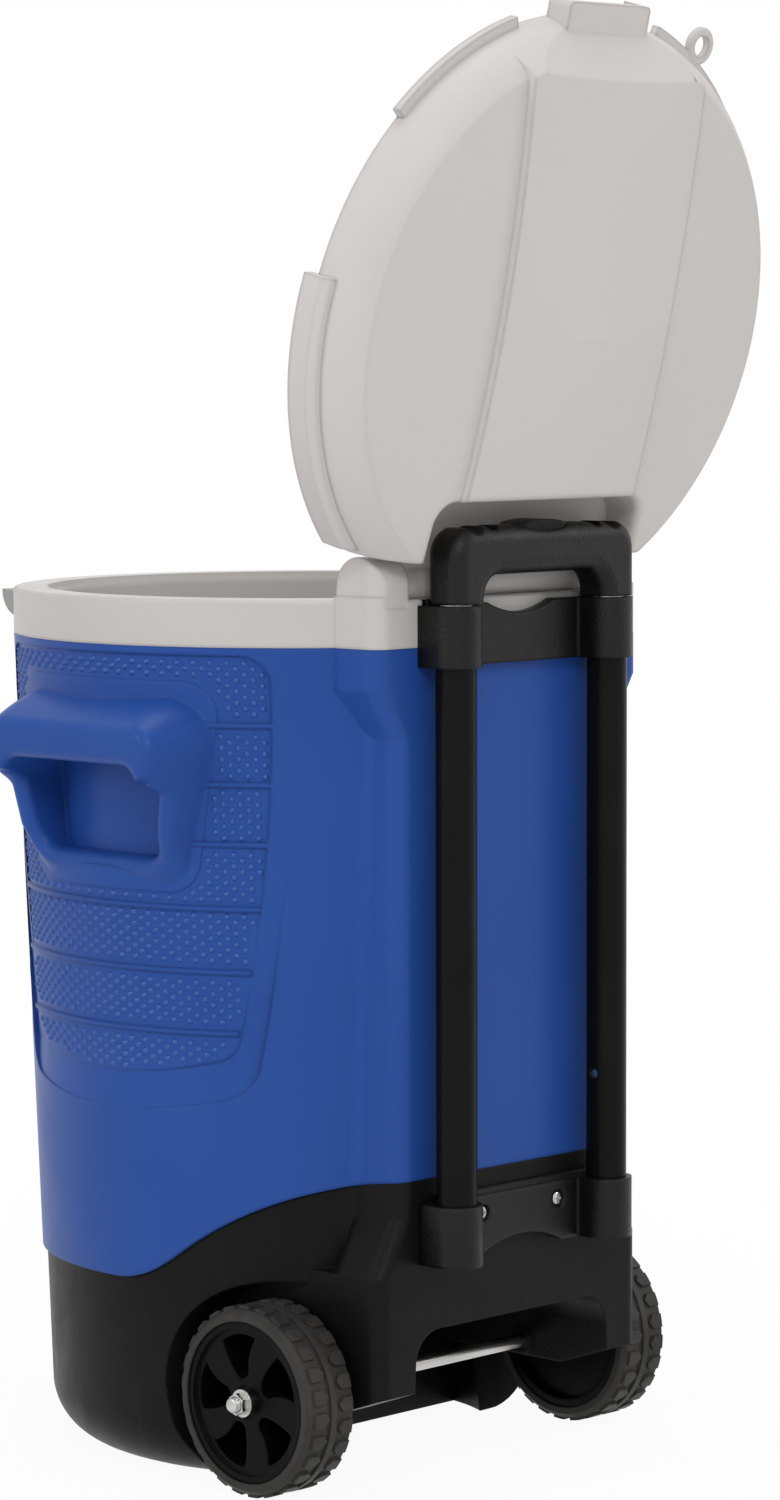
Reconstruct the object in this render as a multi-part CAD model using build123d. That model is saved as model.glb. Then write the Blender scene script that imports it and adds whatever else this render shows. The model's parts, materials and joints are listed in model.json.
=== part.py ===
from build123d import *
import os
from math import cos, pi, radians, sin, sqrt

# Wheeled drinks cooler, millimetres. The origin is on the floor under the axis of the round tub,
# +Z is up, -Y is the front with the tap and the latch, +Y is the rear with the tow handle.

# Tub: round in plan with a squared block at the rear
seam_z = 109.0
collar_low_z = 453.3
collar_top_z = 478.6
rim_radius = 163.0
seam_radius = 150.0
mouth_radius = 140.0
rear_y = 157.0
corner_half = 104.0
waist_half = 88.0
corner_round = 9.0
waist_round = 10.0
waist_low_z = 120.0
waist_top_z = 405.0
corner_low_z = 431.0
shell_wall = 5.5
skirt_inset = 6.0
skirt_wall = 3.5
skirt_low_z = 112.0
skirt_top_z = 180.0

# Liner
liner_floor_z = 128.0
liner_floor_radius = 128.0
liner_wall = 3.0
liner_corner = 14.0
flange_radius = 151.0

# Side grips and the panels round them
grip_top_z = 420.0
grip_low_z = 332.0
grip_reach = 183.0
lip_low_z = 391.0
lip_thick = 9.0
pocket_top_z = 405.0
pocket_low_z = 340.0
pocket_back_radius = 145.5
mouth_top_half = 56.0
mouth_low_half = 45.0
mouth_round = 6.0
curl_half = 43.0
bulge_round = 7.0
panel_top_z = 449.0
panel_low_z = 223.0
panel_top_half = 100.5
panel_mid_half = 96.4
panel_mid_z = 345.0
panel_low_half = 78.0
panel_foot_rise = 11.0
panel_corner = 14.0
panel_depth = 1.6
margin_top_half = 78.5
margin_low_half = 62.0
margin_top_z = 435.0
margin_low_z = 322.0
margin_depth = 0.9
rib_heights = (412.0, 380.5, 348.5, 314.0, 280.0, 247.0)
rib_thick = 2.4
moat_top_z = 348.0
moat_deep_z = 229.0
moat_low_z = 199.0
moat_reach = 9.0
moat_drop = 20.0
moat_depth = 2.8

# Base cup, foot and legs
base_step = 2.5
base_wall = 4.0
base_low_radius = 143.5
foot_round = 34.0
foot_rear_y = 15.0
arch_top_z = 88.0
arch_half = 75.0
arch_round = 18.0
arch_draft = 5.0
leg_low_z = 43.0
leg_heel_y = 122.0
leg_heel_slope = 0.36
flare_rise = 30.0
axle_y = 93.35
axle_z = 51.55
axle_radius = 4.0
axle_half = 146.0
well_radius = 61.0
well_inner_x = 104.0
boss_radius = 8.0

# Wheels
wheel_radius = 51.55
wheel_inner_x = 107.6
wheel_outer_x = 142.2
tyre_seat_radius = 43.6
tread_depth = 1.8
tread_count = 26
spoke_count = 5
dish_depth = 2.0
hub_dip_radius = 9.0

# Hinge, ears and lid, drawn closed and then swung open
hinge_y = 141.0
hinge_z = 486.0
ear_inner_x = 79.5
ear_round = 15.5
barrel_half = 78.0
barrel_radius = 11.0
hinge_pin_radius = 3.0
lid_open_angle = 104.0
lid_gap = 0.6
lid_radius = 165.0
lid_shoulder_radius = 150.0
lid_shoulder = 31.0
lid_crown = 40.5
band_rise = 4.0
band_half = 66.0
lid_wall = 3.0
recess_half = 79.5
recess_floor = 5.0
recess_reach = 46.5
recess_slope = 0.25
recess_corner = 12.0
recess_rim_round = 4.0
scoop_half = 58.0
scoop_top_y = 126.0
scoop_top = 45.0
scoop_slope = 0.86
skirt_radius = 170.5
skirt_drop = 5.0
skirt_rise = 12.0
skirt_front_y = -24.0

# Front latch
latch_half = 31.0
latch_pivot_y = -172.0
latch_pivot_z = 470.0
latch_tip_y = -221.5
latch_pin_radius = 2.0

# Tow handle
tube_x = 59.7
tube_y = 171.75
tube_radius = 11.0
tube_wall = 1.5
inner_radius = 9.2
inner_wall = 1.2
inner_low_z = 196.0
upper_low_z = 442.8
upper_top_z = 475.5
lower_low_z = 124.7
lower_top_z = 157.3
brow_rise = 3.0
screw_x = 30.0
screw_z = 147.5
screw_radius = 2.2
screw_head_radius = 3.6
screw_well_radius = 4.8
screw_well = 2.6
socket_radius = 14.0
plate_y = 163.5
tab_x = 64.5
tab_half = 5.0
tab_front_y = 152.3
tab_low_z = 471.5
tab_screw_radius = 3.3
grip_low = 476.2
grip_top = 517.0
grip_half = 71.0
grip_depth = 25.0
finger_half = 47.0
finger_top_z = 491.0
button_length = 44.0
button_width = 18.0
notch_x = 54.0
notch_radius = 6.5
notch_depth = 4.5
end_pocket_x = 40.5
end_pocket_length = 20.0
end_pocket_width = 11.0
dip_radius = 62.0
dip_depth = 4.2
lock_z = 215.0
lock_radius = 2.5

# Tap
tap_z = 152.0
tap_pocket_half = 36.0
tap_pocket_low = 121.0
tap_pocket_top = 190.0
tap_pocket_y = -137.5
tap_bore = 8.0


def tub_radius(z):
    return seam_radius + (rim_radius - seam_radius) * (z - seam_z) / (collar_low_z - seam_z)


def base_radius(z):
    top = tub_radius(seam_z) - base_step
    return base_low_radius + (top - base_low_radius) * z / seam_z


def box(x0, x1, y0, y1, z0, z1):
    return Pos((x0 + x1) / 2, (y0 + y1) / 2, (z0 + z1) / 2) * Box(x1 - x0, y1 - y0, z1 - z0)


def rod_x(radius, x0, x1, y, z):
    return Pos((x0 + x1) / 2, y, z) * Rot(0, 90, 0) * Cylinder(radius, abs(x1 - x0))


def rod_y(radius, x, y0, y1, z):
    return Pos(x, (y0 + y1) / 2, z) * Rot(90, 0, 0) * Cylinder(radius, abs(y1 - y0))


def rod_z(radius, x, y, z0, z1):
    return Pos(x, y, (z0 + z1) / 2) * Cylinder(radius, z1 - z0)


def both_sides(piece):
    return piece + mirror(piece, Plane.YZ)


def side_prism(outline, x0, x1):
    # an outline in Y and Z drawn out along X
    return Pos(x0, 0, 0) * extrude(Plane.YZ * outline, amount=x1 - x0)


# Plan of the tub: a circle with the rear block, softened where they meet
def plan_face(radius, half, inset=0.0):
    r = radius - inset
    h = half - inset
    rear = rear_y - inset
    reach = sqrt(r * r - h * h)
    arc = ThreePointArc((h, reach), (0, -r), (-h, reach))
    block = Polyline((-h, reach), (-h, rear), (h, rear), (h, reach))
    face = make_face(Curve() + [arc, block])
    corners = [v for v in face.vertices() if v.Y > rear - 0.5]
    face = fillet(corners, corner_round)
    joins = [v for v in face.vertices() if abs(v.Y - reach) < 0.01]
    return fillet(joins, waist_round)


# Round wall between two heights, with the squared block at its rear
def wall_form(low, high, low_radius, high_radius, half, inset=0.0):
    cone = Pos(0, 0, (low + high) / 2) * Cone(low_radius - inset, high_radius - inset, high - low)
    rear = rear_y - inset
    block = box(inset - half, half - inset, 0, rear, low, high)
    corners = block.edges().filter_by(Axis.Z).sort_by(Axis.Y)[-2:]
    return cone - box(-half, half, rear, 2 * rear, low, high) + fillet(corners, corner_round)


# Hollow blend where the round wall meets the block's side: a wedge less a slanted cylinder
def waist_blend(low, high, low_radius, high_radius, half):
    centre_x = half + waist_round
    start = Vector(centre_x, sqrt((low_radius + waist_round) ** 2 - centre_x**2), low)
    end = Vector(centre_x, sqrt((high_radius + waist_round) ** 2 - centre_x**2), high)
    wedge = make_face(Polyline((90, low), (start.Y, low), (end.Y, high), (90, high), close=True))
    along = (end - start).normalized()
    over = 20.0
    hollow = Plane(start - along * over, z_dir=along) * Circle(waist_round)
    reach = centre_x * low_radius / (low_radius + waist_round)
    blend = side_prism(wedge, half - 5, reach)
    return both_sides(blend - extrude(hollow, (end - start).length + 2 * over))


def tub_form(low, high, inset=0.0):
    return wall_form(low, high, tub_radius(low), tub_radius(high), waist_half, inset)


# Everything under the wavy seam between shell and base
def seam_cut():
    start = (5.0, seam_z)
    end = (rear_y + 40.0, 174.0)
    wave = Spline(start, (52.0, 131.0), (95.0, 156.0), end, tangents=((1, 0.05), (1, 0.1)))
    rest = Polyline(end, (end[0], -50.0), (-250.0, -50.0), (-250.0, seam_z), start)
    return side_prism(make_face(Curve() + [wave, rest]), -250.0, 250.0)


# Rear corner columns that widen from the waist up to the hinge ears
def column(low, high, low_half, high_half, inset=0.0):
    inner = 60.0
    front = 119.0

    def section(half, z):
        width = half - inset - inner
        depth = rear_y - inset - front
        face = RectangleRounded(width, depth, corner_round)
        return Pos(inner + width / 2, front + depth / 2, z) * face

    return loft([section(low_half, low), section(high_half, high)], ruled=True)


def rounded_outline(half_top, half_low, top, low, radius):
    points = [(-half_top, top), (half_top, top), (half_low, low), (-half_low, low)]
    face = make_face(Polyline(*points, close=True))
    return fillet(face.vertices(), radius)


def across(x, outline):
    # an outline in Y and Z set at a distance along X
    return Plane((x, 0, 0), x_dir=(0, 1, 0), z_dir=(1, 0, 0)) * outline


# Side grip: a bulge lofted out of the wall, with a rounded front
def grip_bulge():
    bulge = loft([
        across(140.0, rounded_outline(80.0, 52.0, grip_top_z + 9, grip_low_z - 24, 26.0)),
        across(165.0, rounded_outline(75.0, 57.0, grip_top_z + 2, grip_low_z + 14, 22.0)),
        across(grip_reach, rounded_outline(66.0, 60.0, grip_top_z - 9, lip_low_z - 12, 12.0)),
    ])
    return fillet(bulge.faces().sort_by(Axis.X)[-1].edges(), bulge_round)


def grip_mouth(grow=0.0):
    outline = rounded_outline(
        mouth_top_half + grow, mouth_low_half + grow, lip_low_z + grow, pocket_low_z - grow, 12 + grow
    )
    return side_prism(outline, 100, 220)


# The bulge opened into a loop, its inner rim rolled over
def grip_hood():
    mouth = grip_mouth()
    hood = grip_bulge() - mouth
    rim = []
    for edge in hood.edges():
        outside = edge.bounding_box().min.X > 150.0
        if outside and mouth.distance_to(Vertex(*(edge @ 0.5))) < 0.01:
            rim.append(edge)
    return fillet(rim, mouth_round)


# Hand space behind the loop, with room for the fingers to curl up under the lip
def grip_pocket(grow=0.0):
    curl = rounded_outline(curl_half + grow, curl_half + grow, pocket_top_z + grow, lip_low_z - 20, 8.0)
    under_lip = side_prism(curl, 100, grip_reach - lip_thick + grow)
    return grip_mouth(grow) + under_lip - pocket_back(grow)


def pocket_back(grow=0.0):
    return Cylinder(pocket_back_radius - grow, 1200)


# Outline of the dotted panel: upright at the top, drawn in towards a curved foot
def panel_outline(grow=0.0, drop=0.0):
    top, mid, low = panel_top_half + grow, panel_mid_half + grow, panel_low_half + grow
    foot_z = panel_low_z - drop
    corner_z = foot_z + panel_foot_rise
    outline = Curve() + [
        Line((-top, panel_top_z), (top, panel_top_z)),
        ThreePointArc((top, panel_top_z), (mid, panel_mid_z), (low, corner_z)),
        ThreePointArc((low, corner_z), (0, foot_z), (-low, corner_z)),
        ThreePointArc((-low, corner_z), (-mid, panel_mid_z), (-top, panel_top_z)),
    ]
    face = make_face(outline)
    return fillet(face.vertices(), panel_corner + grow)


# Shallow recess for the dots, less deep in the margin round the grip, with level ribs left standing
def panel_cut():
    cut = side_prism(panel_outline(), 90.0, 220.0) - tub_form(seam_z, collar_low_z, panel_depth)
    margin = rounded_outline(margin_top_half, margin_low_half, margin_top_z, margin_low_z, 18.0)
    cut -= side_prism(margin, 90.0, 220.0) & tub_form(seam_z, collar_low_z, margin_depth)
    for height in rib_heights:
        cut -= box(90, 220, -120, 120, height - rib_thick / 2, height + rib_thick / 2)
    return cut


# Smooth hollow round the panel's lower half, so that the panel stands out of it
def panel_moat():
    top, deep, low = moat_top_z, moat_deep_z, moat_low_z
    outside = rim_radius + 10.0
    clear = 0.3
    profile = make_face(
        Polyline((tub_radius(top) + clear, top), (tub_radius(deep) - moat_depth, deep),
                 (tub_radius(low) + clear, low), (outside, low), (outside, top), close=True)
    )
    outline = panel_outline(moat_reach, moat_drop)
    hollow = revolve(Plane.XZ * profile, Axis.Z) & side_prism(outline, 90.0, 220.0)
    return hollow - side_prism(panel_outline(), 90.0, 220.0)


def tap_pocket(grow=0.0):
    outline = RectangleRounded(
        2 * (tap_pocket_half + grow), tap_pocket_top - tap_pocket_low + 2 * grow, 14.0 + grow
    )
    middle = (tap_pocket_low + tap_pocket_top) / 2
    plane = Plane((0, tap_pocket_y + grow, middle), x_dir=(1, 0, 0), z_dir=(0, -1, 0))
    return extrude(plane * outline, amount=60.0)


def tap_hole():
    return rod_y(tap_bore + 0.1, 0, -160, -115, tap_z)


# Space inside the shell that foam fills
def foam_space():
    upper = tub_form(skirt_top_z, collar_low_z, shell_wall)
    lower = tub_form(skirt_low_z + skirt_wall, skirt_top_z, skirt_inset + skirt_wall)
    space = upper + lower
    walls = grip_pocket(3.0)
    return space - both_sides(walls) - tap_pocket(3.0)


def outer_shell():
    low = seam_z - 9.0
    visible = tub_form(low, collar_low_z)
    visible += waist_blend(low, collar_low_z, tub_radius(low), rim_radius, waist_half)
    visible -= seam_cut()
    skirt = tub_form(skirt_low_z, 200.0, skirt_inset)
    flare = column(waist_top_z, corner_low_z, waist_half, corner_half)
    flare += column(corner_low_z, collar_low_z, corner_half, corner_half)
    shell = visible + skirt + both_sides(flare)
    loop_space = grip_bulge() - pocket_back() + grip_pocket()
    shell -= both_sides(panel_cut() + panel_moat() + loop_space)
    shell += both_sides(grip_hood() - grip_pocket())
    shell -= tap_pocket()
    shell -= tap_hole()
    return shell - foam_space()


def liner_space():
    corner = liner_corner
    low = liner_floor_z
    turn = (liner_floor_radius - corner * (1 - sqrt(0.5)), low + corner * (1 - sqrt(0.5)))
    bend = ThreePointArc((liner_floor_radius - corner, low), turn, (liner_floor_radius, low + corner))
    rest = Polyline((liner_floor_radius, low + corner), (mouth_radius, collar_low_z), (0, collar_low_z),
                    (0, low), (liner_floor_radius - corner, low))
    return revolve(Plane.XZ * make_face(Curve() + [bend, rest]), Axis.Z)


def liner_body():
    outer = liner_floor_radius + liner_wall
    low = liner_floor_z - liner_wall
    cut = 0.7 * liner_corner
    flange_low_z = collar_low_z - liner_wall
    face = make_face(
        Polyline((0, low), (outer - cut, low), (outer, low + cut), (mouth_radius + liner_wall, flange_low_z),
                 (flange_radius, flange_low_z), (flange_radius, collar_low_z), (0, collar_low_z), close=True)
    )
    return revolve(Plane.XZ * face, Axis.Z)


def liner():
    return liner_body() - liner_space() - tap_hole()


def insulation_foam():
    return foam_space() - liner_body() - tap_hole()


# Collar with the hinge ears, the trough for the lid's hinge barrel and the latch lugs
def ear():
    block = column(collar_low_z, collar_top_z + 2.0, corner_half, corner_half)
    block += column(collar_top_z, hinge_z + ear_round + 4, corner_half - 1.0, corner_half - 3.0)
    block -= box(0, ear_inner_x, 100, 200, collar_top_z - 6, 520)
    crown = rod_x(ear_round, 70, 110, hinge_y, hinge_z)
    under = box(70, 110, hinge_y - ear_round, hinge_y + ear_round, collar_low_z, hinge_z)
    base = box(60, 110, 110, rear_y, collar_low_z, collar_top_z - 4.5)
    return block & (crown + under + base)


def latch_lug():
    lug = rod_x(5.0, latch_half + 0.8, latch_half + 5.3, latch_pivot_y, latch_pivot_z)
    lug += box(latch_half + 0.8, latch_half + 5.3, latch_pivot_y, -150, latch_pivot_z - 5, latch_pivot_z + 5)
    return lug


def collar():
    ring = Pos(0, 0, collar_low_z) * extrude(plan_face(rim_radius, waist_half), collar_top_z - collar_low_z)
    ring = fillet(ring.faces().sort_by(Axis.Z)[-1].edges(), 2.0)
    ring += both_sides(ear())
    ring += both_sides(latch_lug())
    ring -= rod_z(mouth_radius, 0, 0, collar_low_z - 1, collar_top_z + 1)
    ring -= rod_z(mouth_radius + 4.0, 0, 0, collar_top_z - 4.0, collar_top_z + 1)
    ring -= rod_x(barrel_radius + 1.0, -ear_inner_x, ear_inner_x, hinge_y, hinge_z)
    ring -= both_sides(rod_x(hinge_pin_radius, 60, corner_half - 6, hinge_y, hinge_z))
    ring -= both_sides(bracket_tab(0.3))
    ring -= rod_x(latch_pin_radius, -60, 60, latch_pivot_y, latch_pivot_z)
    return ring


def hinge_pin(side):
    pin = rod_x(hinge_pin_radius, 58.0, corner_half - 6, hinge_y, hinge_z)
    return pin if side > 0 else mirror(pin, Plane.YZ)


# Tunnel between the rear legs, wider at the floor
def arch(inset):
    half = arch_half + inset
    top = arch_top_z + inset
    outline = make_face(Polyline((-half, top), (half, top), (half + arch_draft, -10), (-half - arch_draft, -10),
                                 close=True))
    upper = [v for v in outline.vertices() if v.Y > 0]
    outline = fillet(upper, arch_round)
    plane = Plane((0, foot_rear_y - inset, 0), x_dir=(1, 0, 0), z_dir=(0, -1, 0))
    return extrude(plane * outline, amount=300, dir=(0, 1, 0))


# Everything under the rear legs, which rise towards their heels
def leg_clearance(inset):
    low = leg_low_z + inset
    front = foot_rear_y - inset
    over = 300.0
    heel = low + leg_heel_slope * (over - leg_heel_y)
    outline = make_face(
        Polyline((front, -10), (over, -10), (over, heel), (leg_heel_y, low), (front, low), close=True)
    )
    return side_prism(outline, -200, 200)


# Base cup: the same walls drawn twice, the second time set in by the wall's thickness
def base_form(inset):
    def cup_wall(low, high, half):
        return wall_form(low, high, base_radius(low), base_radius(high), half, inset)

    ledge = waist_low_z - inset
    form = cup_wall(ledge, 200.0, waist_half) + cup_wall(foot_round, ledge, corner_half)
    r = base_radius(foot_round) - inset
    bend = foot_round - inset
    side = Polyline((r - bend, inset), (0, inset), (0, foot_round + 2), (r, foot_round + 2), (r, foot_round))
    curve = RadiusArc((r - bend, inset), (r, foot_round), -bend)
    if inset:
        curve = Line((r - bend, inset), (r, foot_round))
    else:
        form += waist_blend(ledge, 200.0, base_radius(ledge), base_radius(200.0), waist_half)
        form += waist_blend(foot_round, ledge, base_radius(foot_round), base_radius(ledge), corner_half)
    form += revolve(Plane.XZ * make_face(Curve() + [side, curve]), Axis.Z)
    form += both_sides(column(ledge, ledge + flare_rise, corner_half, waist_half, inset))
    form -= arch(inset)
    form -= leg_clearance(inset)
    well = rod_x(well_radius + inset, well_inner_x - inset, 220, axle_y, axle_z)
    well += box(well_inner_x - inset, 220, axle_y - well_radius - inset, 300, -10, axle_z)
    return form - both_sides(well)


def base():
    cup = (base_form(0.0) & seam_cut()) - base_form(base_wall)
    cup += both_sides(rod_x(boss_radius, arch_half, well_inner_x, axle_y, axle_z))
    cup -= tub_form(skirt_low_z, 200.0, skirt_inset)
    return cup - rod_x(axle_radius, -200, 200, axle_y, axle_z)


def axle():
    return rod_x(axle_radius, -axle_half, axle_half, axle_y, axle_z)


def axle_ring(radius, x0, x1):
    ring = rod_x(radius, x0, x1, axle_y, axle_z)
    return both_sides(ring - rod_x(axle_radius, x0 - 1, x1 + 1, axle_y, axle_z))


# Wheels: a five-spoke rim with deep teardrop openings, and a tyre with two rows of lugs
def wheel_rim():
    middle = (wheel_inner_x + wheel_outer_x) / 2
    face_x = wheel_outer_x - 1.0
    rim = rod_x(tyre_seat_radius, wheel_inner_x + 1, face_x, axle_y, axle_z)
    rim -= rod_x(tyre_seat_radius - 4.0, face_x - dish_depth, face_x + 1, axle_y, axle_z)
    rim -= rod_x(hub_dip_radius, face_x - dish_depth - 1.5, face_x + 1, axle_y, axle_z)
    hub_end = (5.0, 16.0)
    tip = (14.5, 32.5)
    heel = (-11.0, 34.0)
    drop = make_face(
        Curve()
        + [
            ThreePointArc((-hub_end[0], hub_end[1]), (0, 12.6), hub_end),
            ThreePointArc(hub_end, (7.6, 24.0), tip),
            ThreePointArc(tip, (2.0, 36.4), heel),
            ThreePointArc(heel, (-8.8, 24.0), (-hub_end[0], hub_end[1])),
        ]
    )
    well_floor = Plane((middle - 8, axle_y, axle_z), x_dir=(0, 1, 0), z_dir=(1, 0, 0))
    for index in range(spoke_count):
        turned = well_floor * Rot(0, 0, index * 360 / spoke_count + 14) * drop
        rim -= extrude(turned, amount=40)
    back = rod_x(tyre_seat_radius - 5, wheel_inner_x, wheel_inner_x + 6, axle_y, axle_z)
    rim -= back - rod_x(12.0, wheel_inner_x - 1, wheel_inner_x + 7, axle_y, axle_z)
    return rim - rod_x(axle_radius + 0.06, 90, 150, axle_y, axle_z)


def tyre():
    tread_base = wheel_radius - tread_depth
    width = wheel_outer_x - wheel_inner_x
    ring = rod_x(tread_base, wheel_inner_x, wheel_outer_x, axle_y, axle_z)
    ring = chamfer(ring.edges().filter_by(GeomType.CIRCLE), 2.5)
    middle = (wheel_inner_x + wheel_outer_x) / 2
    band = rod_x(wheel_radius - 0.4, middle - 2.2, middle + 2.2, axle_y, axle_z)
    lug_length = (width - 4.4) / 2 - 5.0
    lug_width = 2 * pi * wheel_radius / tread_count * 0.62
    lug = make_face(
        Polyline(
            (-lug_length / 2, -lug_width / 2), (lug_length / 2 - 3, -lug_width / 2), (lug_length / 2, 0),
            (lug_length / 2 - 3, lug_width / 2), (-lug_length / 2, lug_width / 2), close=True,
        )
    )
    lugs = []
    for index in range(tread_count):
        for side in (-1, 1):
            angle = (index + 0.25 * side) * 360 / tread_count
            spot = Pos(middle + side * (2.2 + 1.4 + lug_length / 2), axle_y, axle_z) * Rot(angle, 0, 0)
            foot = Plane((0, 0, tread_base - 3), x_dir=(-side, 0, 0), z_dir=(0, 0, 1))
            lugs.append(spot * extrude(foot * lug, amount=tread_depth + 4))
    reach = rod_x(wheel_radius, wheel_inner_x - 1, wheel_outer_x + 1, axle_y, axle_z)
    tread = (Part() + lugs) & reach
    ring = ring + band + tread
    return ring - rod_x(tyre_seat_radius, wheel_inner_x - 1, wheel_outer_x + 1, axle_y, axle_z)


# Brackets that hold the outer tubes against the rear of the tub
def socket(side, low, high):
    lobe = rod_z(socket_radius, side * tube_x, tube_y, low, high)
    x0, x1 = sorted((side * (tube_x - socket_radius), side * (tube_x + socket_radius)))
    return lobe + box(x0, x1, rear_y + 0.2, tube_y, low, high)


def bracket(low, high):
    body = socket(1, low, high) + socket(-1, low, high)
    return body + box(-tube_x, tube_x, rear_y + 0.2, plate_y, low, high)


def upper_bracket():
    body = bracket(upper_low_z, upper_top_z)
    body -= rod_y(62.0, 0, 150, 200, upper_top_z + 56.0)
    for side in (-1, 1):
        body -= rod_z(tube_radius, side * tube_x, tube_y, upper_low_z - 1, upper_top_z - 2.5)
        body -= rod_z(inner_radius + 0.35, side * tube_x, tube_y, upper_low_z, upper_top_z + 1)
    return body + both_sides(bracket_tab(0.0))


# Tab on the bracket that sits in a notch of the collar under a screw
def bracket_tab(grow):
    x0, x1 = tab_x - tab_half - grow, tab_x + tab_half + grow
    return box(x0, x1, tab_front_y - grow, rear_y + 2.0, tab_low_z - grow, upper_top_z + 10 * grow)


def lower_bracket():
    body = bracket(lower_low_z, lower_top_z)
    brow_top = lower_top_z + brow_rise
    brow = make_face(
        Polyline((rear_y + 0.2, lower_top_z - 6), (plate_y, lower_top_z - 6), (plate_y, lower_top_z - 2.0),
                 (plate_y - 4.0, brow_top), (rear_y + 0.2, brow_top), close=True)
    )
    body += side_prism(brow, -tube_x, tube_x)
    body -= rod_y(70.0, 0, 150, 200, lower_low_z - 62.0)
    for side in (-1, 1):
        body -= rod_z(tube_radius, side * tube_x, tube_y, lower_low_z + 3.5, lower_top_z + 10)
        body -= rod_y(screw_radius, side * screw_x, 140, 180, screw_z)
        body -= rod_y(screw_well_radius, side * screw_x, plate_y - screw_well, 180, screw_z)
    return body


def outer_tube(side):
    tube = rod_z(tube_radius, side * tube_x, tube_y, lower_low_z + 3.5, upper_top_z - 2.5)
    tube -= rod_z(tube_radius - tube_wall, side * tube_x, tube_y, lower_low_z, upper_top_z)
    x0, x1 = sorted((side * (tube_x - 20), side * tube_x))
    return tube - rod_x(lock_radius + 0.4, x0, x1, tube_y, lock_z)


def lower_screws():
    screws = Part()
    seat_y = plate_y - screw_well
    for side in (-1, 1):
        head = rod_y(screw_head_radius, side * screw_x, seat_y, plate_y - 0.4, screw_z)
        screws += head + rod_y(screw_radius, side * screw_x, rear_y, seat_y, screw_z)
    return screws


def upper_screws():
    head = rod_z(tab_screw_radius, tab_x, tab_front_y + tab_screw_radius, upper_top_z, upper_top_z + 2.6)
    return both_sides(head)


# Tow handle: grip, inner tubes and the lock release inside them
def tow_grip():
    outer = RectangleRounded(2 * grip_half, 2 * (grip_top - grip_low), 15.0)
    finger = RectangleRounded(2 * finger_half, 2 * (finger_top_z - grip_low), 13.0)
    plane = Plane((0, tube_y + grip_depth / 2, grip_low), x_dir=(1, 0, 0), z_dir=(0, -1, 0))
    grip = extrude(plane * (outer - finger), amount=grip_depth)
    grip -= box(-200, 200, 100, 250, 300, grip_low)
    edges = grip.edges().filter_by(lambda e: e.center().Z > grip_low + 0.5)
    faces_y = (tube_y - grip_depth / 2, tube_y + grip_depth / 2)
    rims = [e for e in edges if min(abs(e.center().Y - y) for y in faces_y) < 0.01]
    grip = fillet(rims, 8.0)
    for side in (-1, 1):
        grip -= rod_y(notch_radius, side * notch_x, 150, 200, grip_top + notch_radius - notch_depth)
        pocket = Rot(0, 0, 90) * SlotOverall(end_pocket_length, end_pocket_width)
        grip -= Pos(side * end_pocket_x, tube_y, grip_top - 6) * extrude(pocket, amount=12)
        grip -= rod_z(inner_radius, side * tube_x, tube_y, grip_low - 1, 490.0)
        grip -= rod_z(3.2, side * tube_x, tube_y, 480, 500)
    grip -= rod_y(dip_radius, 0, 150, 200, grip_top - dip_depth + dip_radius)
    grip -= box(-64.0, 64.0, tube_y - 4.5, tube_y + 4.5, 495.0, 506.5)
    return grip - button_form(0.4, 500.0, 530.0)


def button_form(grow, low, high):
    outline = SlotOverall(button_length + 2 * grow, button_width + 2 * grow)
    return Pos(0, tube_y, low) * extrude(outline, amount=high - low)


def release_button():
    button = button_form(0.0, 506.0, grip_top + 3.0)
    button = fillet(button.faces().sort_by(Axis.Z)[-1].edges(), 2.0)
    return button & rod_y(70.0, 0, 150, 200, grip_top + 2.5 - 70.0)


def release_bar():
    return box(-63.2, 63.2, tube_y - 4.0, tube_y + 4.0, 501.0, 506.0)


def button_spring():
    ring = rod_z(3.0, 0, tube_y, 495.0, 501.0)
    return ring - rod_z(2.0, 0, tube_y, 490.0, 505.0)


# A fork at the push rod's end slides a 45 degree face along the lock pin's flange
def push_rod(side):
    rod = rod_z(2.5, side * tube_x, tube_y, lock_z + 9.0, 501.0)
    fork = make_face(Polyline((-3, 10), (4.8, 10), (4.8, 1.8), (3.4, 1.8), (-3, 8.2), close=True))
    plane = Plane((0, tube_y + 6.0, lock_z), x_dir=(-1, 0, 0), z_dir=(0, 1, 0))
    prongs = extrude(plane * fork, amount=12.0, dir=(0, -1, 0))
    prongs -= box(-20, 20, tube_y - 3.0, tube_y + 3.0, lock_z - 20, lock_z + 9.0)
    prongs = prongs if side > 0 else mirror(prongs, Plane.YZ)
    return rod + Pos(side * tube_x, 0, 0) * prongs


def lock_pin(side):
    tip = inner_radius - 0.1
    nose = rod_x(lock_radius, -tip, -0.5, tube_y, lock_z)
    flange = rod_x(5.0, -0.5, 2.0, tube_y, lock_z)
    bevel = make_face(Polyline((2.8, 1.4), (-3.4, 7.6), (8.0, 7.6), (8.0, 1.4), close=True))
    plane = Plane((0, tube_y + 8.0, lock_z), x_dir=(-1, 0, 0), z_dir=(0, 1, 0))
    pin = nose + flange - extrude(plane * bevel, amount=16.0, dir=(0, -1, 0))
    pin = pin if side > 0 else mirror(pin, Plane.YZ)
    return Pos(side * tube_x, 0, 0) * pin


def inner_tube(side):
    tube = rod_z(inner_radius, side * tube_x, tube_y, inner_low_z, 490.0)
    tube -= rod_z(inner_radius - inner_wall, side * tube_x, tube_y, inner_low_z - 1, 491.0)
    x0, x1 = sorted((side * (tube_x - 20), side * tube_x))
    return tube - rod_x(lock_radius + 0.3, x0, x1, tube_y, lock_z)


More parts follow.
